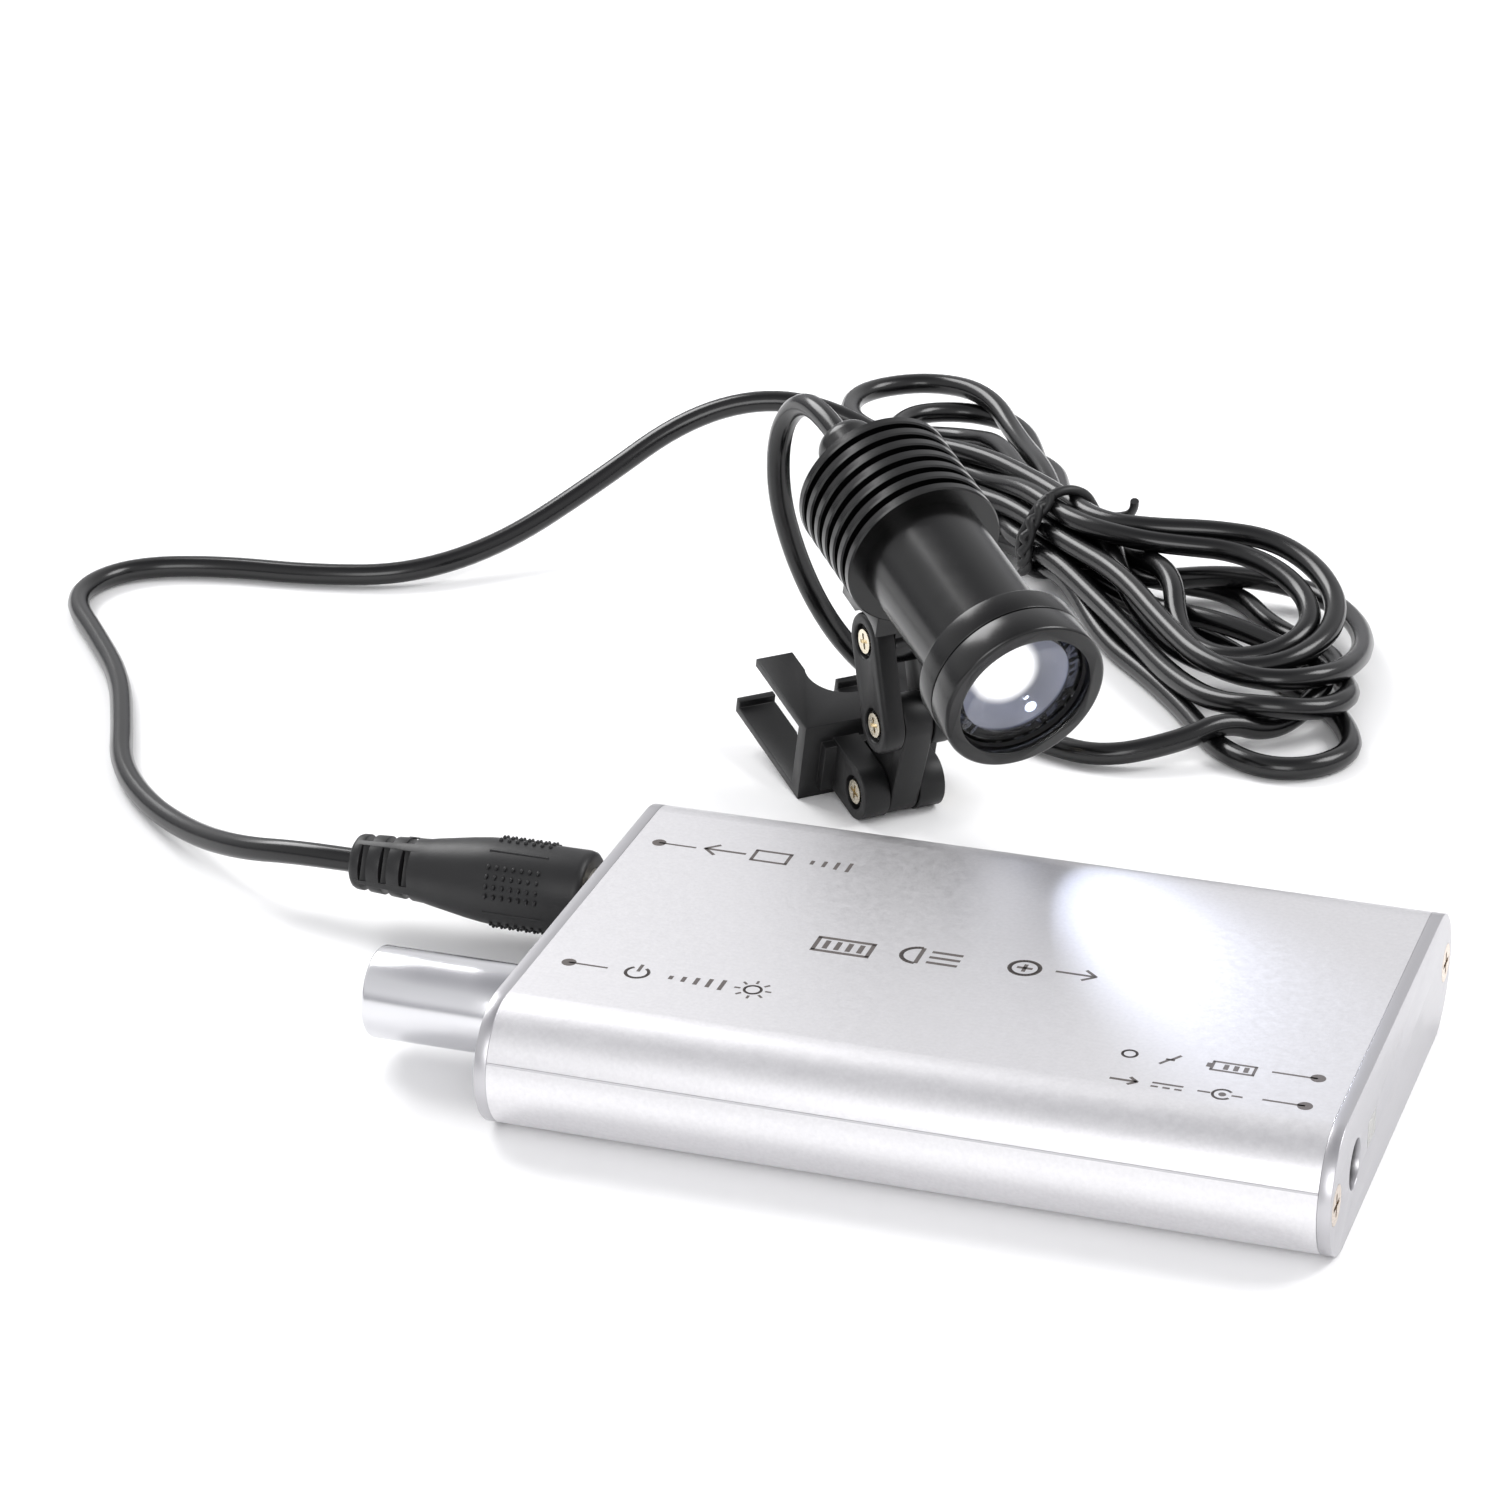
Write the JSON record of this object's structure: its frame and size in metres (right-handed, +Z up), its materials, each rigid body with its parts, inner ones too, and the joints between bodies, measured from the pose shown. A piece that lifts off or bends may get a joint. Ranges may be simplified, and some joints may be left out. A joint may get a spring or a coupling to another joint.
{
  "type": "clip-on headlight",
  "caption": "Clip-on LED headlight with a finned heat sink, folding hinge and forked clip, wired by a hanked cord to a flat battery pack with a dimmer knob, output jack and charging socket.",
  "frame": {"origin": "centre of the battery pack's flat underside", "axes": "+Z up, +X along the pack from its dimmer end to its charging end, +Y from the pack towards the lamp"},
  "size_m": [0.2062, 0.2304, 0.052],
  "materials": {
    "case_aluminium": "satin anodised",
    "screw_steel": "bright",
    "foam": "matte",
    "cell_wrap": "shrink wrap",
    "board": "solder mask",
    "nylon": "matte",
    "ferrite": "matte",
    "chip_plastic": "matte",
    "contact_brass": "nickel flash",
    "clear_window": "clear",
    "led_white": "glossy",
    "nickel": "bright nickel",
    "switch_body": "matte",
    "knob_metal": "polished",
    "shaft_brass": "plain",
    "pvc_black": "satin",
    "tie_plastic": "glossy",
    "lamp_black": "black anodised",
    "gasket_rubber": "matte",
    "lens_glass": "polished",
    "led_board_metal": "white mask",
    "retainer": "white",
    "lead_plastic": "matte",
    "gland_black": "satin",
    "link_black": "matte",
    "hinge_brass": "plated"
  },
  "bodies": {
    "pack_and_lamp": {"case_top_shell": "case_aluminium", "case_bottom_shell": "case_aluminium", "output_end_plate": "case_aluminium", "input_end_plate": "case_aluminium", "output_end_screws": "screw_steel", "input_end_screws": "screw_steel", "cell_pad": "foam", "battery_cell": "cell_wrap", "circuit_board": "board", "board_posts": "nylon", "driver_coil": "ferrite", "charge_chip": "chip_plastic", "charge_jack": "chip_plastic", "charge_jack_pin": "contact_brass", "plug_barrel": "contact_brass", "charge_window": "clear_window", "charge_led": "led_white", "led_package": "led_white", "output_jack": "nickel", "output_jack_nut": "nickel", "dimmer_nut": "nickel", "dimmer_body": "switch_body", "plug_body": "pvc_black", "cord_supply": "pvc_black", "cord_lamp": "pvc_black", "cord_hank": "pvc_black", "twist_tie": "tie_plastic", "lens_ring": "lamp_black", "bezel_ring": "lamp_black", "lamp_barrel": "lamp_black", "heat_sink": "lamp_black", "hinge_saddle": "lamp_black", "lens_gasket": "gasket_rubber", "lens": "lens_glass", "led_dome": "lens_glass", "led_board": "led_board_metal", "led_retainer": "retainer", "led_leads": "lead_plastic", "cable_gland": "gland_black"},
    "dimmer_knob": {"dimmer_knob": "knob_metal", "dimmer_shaft": "shaft_brass"},
    "upper_links": {"upper_link_near": "link_black", "upper_link_far": "link_black", "upper_hinge_screw": "hinge_brass", "upper_hinge_nut": "hinge_brass", "middle_hinge_screw": "hinge_brass", "middle_hinge_nut": "hinge_brass"},
    "lower_link": {"lower_link": "link_black"},
    "clip": {"clip": "link_black", "lower_hinge_screw": "hinge_brass", "lower_hinge_nut": "hinge_brass"}
  },
  "joints": [
    {"name": "dimmer_turn", "type": "hinge", "parent": "pack_and_lamp", "child": "dimmer_knob", "pos_m": [-0.048, -0.015, 0.00775], "axis": [1, 0, 0], "range_deg": [-290, 0]},
    {"name": "upper_hinge", "type": "hinge", "parent": "pack_and_lamp", "child": "upper_links", "pos_m": [-0.02867, 0.06383, 0.02452], "axis": [0.7278, 0.6858, 0], "range_deg": [-24, 6]},
    {"name": "middle_hinge", "type": "hinge", "parent": "upper_links", "child": "lower_link", "pos_m": [-0.02666, 0.06169, 0.01428], "axis": [0.7278, 0.6858, 0], "range_deg": [-58, 24]},
    {"name": "lower_hinge", "type": "hinge", "parent": "lower_link", "child": "clip", "pos_m": [-0.0294, 0.0646, 0.0036], "axis": [0.7278, 0.6858, 0], "range_deg": [-56, 28]}
  ]
}
